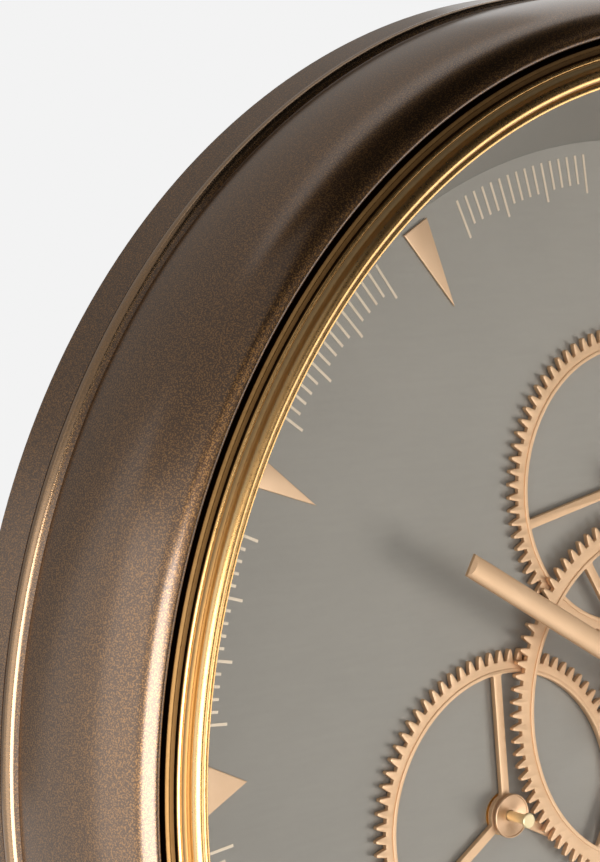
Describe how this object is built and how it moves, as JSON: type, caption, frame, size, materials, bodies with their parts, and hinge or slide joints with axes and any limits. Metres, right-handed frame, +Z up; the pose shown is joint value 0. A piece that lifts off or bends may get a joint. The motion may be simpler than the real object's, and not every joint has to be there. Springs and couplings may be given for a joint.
{
  "type": "gear wall clock",
  "caption": "Round wall clock with a bronze band, stepped gold ring and glass over a flat dial, on which open toothed wheels turn in mesh behind plain bar hands.",
  "frame": {"origin": "on the wall, where the nail carries the keyhole plate at 12 o'clock, 252.4 mm above the clock's axis", "axes": "+X to the viewer's right, +Y into the wall, +Z up; the viewer looks along +Y"},
  "size_m": [0.5366, 0.0795, 0.5366],
  "materials": {
    "bronze_lacquer": "dark bronze metallic lacquer with a fine flake on a moulded shell",
    "gold_ring": "polished gold, spun with bright beads and dark grooves",
    "clear_glass": "clear flat float glass",
    "gasket_rubber": "matte black foam rubber",
    "rehaut_grey": "grey-taupe satin paint, a little darker than the dial",
    "dial_grey": "grey-taupe matte paint with printed rose-gold marks",
    "black_plastic": "black moulded plastic with a fine grain",
    "steel": "bright zinc-plated steel",
    "champagne": "satin champagne gold",
    "brass": "turned and polished brass"
  },
  "bodies": {
    "clock_body": {"case_bezel": "bronze_lacquer", "rear_frame": "bronze_lacquer", "gold_ring": "gold_ring", "glass_lens": "clear_glass", "glass_gasket": "gasket_rubber", "rehaut_ring": "rehaut_grey", "dial_plate": "dial_grey", "hanger_plate": "steel", "movement_case": "black_plastic", "gear_motor_case": "black_plastic", "movement_contact_left": "steel", "movement_contact_right": "steel", "motor_contact_left": "steel", "motor_contact_right": "steel", "case_screw_1": "steel", "case_screw_2": "steel", "case_screw_3": "steel", "case_screw_4": "steel", "case_screw_5": "steel", "case_screw_6": "steel", "dial_screw_1": "steel", "dial_screw_2": "steel", "dial_screw_3": "steel", "dial_screw_4": "steel", "dial_screw_5": "steel", "dial_screw_6": "steel", "hanger_screw_1": "steel", "hanger_screw_2": "steel", "motor_screw_1": "steel", "motor_screw_2": "steel", "spacer_a": "brass", "spacer_c": "brass", "spacer_d": "brass", "arbor_a": "brass", "arbor_d": "brass", "centre_bush": "brass", "stud_washer": "brass", "stud_nut": "brass", "movement_stud": "brass"},
    "gear_b_body": {"gear_b": "champagne", "sun_pinion": "champagne"},
    "gear_a_body": {"gear_a": "champagne", "hub_cap_a": "champagne"},
    "gear_c_body": {"gear_c": "champagne", "hub_cap_c": "champagne", "arbor_c": "brass"},
    "gear_d_body": {"gear_d": "champagne", "hub_cap_d": "champagne"},
    "hour_body": {"hour_hand": "champagne", "hour_tube": "brass"},
    "minute_body": {"minute_hand": "champagne", "minute_shaft": "brass", "hand_nut": "brass"},
    "knob_body": {"setting_knob": "black_plastic"}
  },
  "joints": [
    {"name": "minute_hand_turn", "type": "hinge", "parent": "clock_body", "child": "minute_body", "pos_m": [0, -0.03, -0.2524], "axis": [0, 1, 0], "continuous": true},
    {"name": "hour_hand_turn", "type": "hinge", "parent": "clock_body", "child": "hour_body", "pos_m": [0, -0.03, -0.2524], "axis": [0, 1, 0], "continuous": true},
    {"name": "setting_knob_turn", "type": "hinge", "parent": "clock_body", "child": "knob_body", "pos_m": [0.014, -0.03, -0.2404], "axis": [0, 1, 0], "continuous": true},
    {"name": "gear_b_turn", "type": "hinge", "parent": "clock_body", "child": "gear_b_body", "pos_m": [0, -0.03, -0.2524], "axis": [0, 1, 0], "continuous": true},
    {"name": "gear_a_turn", "type": "hinge", "parent": "clock_body", "child": "gear_a_body", "pos_m": [-0.00692, -0.03, -0.1717], "axis": [0, 1, 0], "continuous": true},
    {"name": "gear_c_turn", "type": "hinge", "parent": "clock_body", "child": "gear_c_body", "pos_m": [-0.07405, -0.03, -0.28522], "axis": [0, 1, 0], "continuous": true},
    {"name": "gear_d_turn", "type": "hinge", "parent": "clock_body", "child": "gear_d_body", "pos_m": [0.07015, -0.03, -0.2929], "axis": [0, 1, 0], "continuous": true}
  ],
  "couplings": [
    {"joint": "hour_hand_turn", "follows": "minute_hand_turn", "ratio": 0.083333},
    {"joint": "setting_knob_turn", "follows": "minute_hand_turn", "ratio": -0.33333},
    {"joint": "gear_a_turn", "follows": "gear_b_turn", "ratio": -0.38462},
    {"joint": "gear_c_turn", "follows": "gear_b_turn", "ratio": -0.38462},
    {"joint": "gear_d_turn", "follows": "gear_b_turn", "ratio": -0.38462}
  ]
}
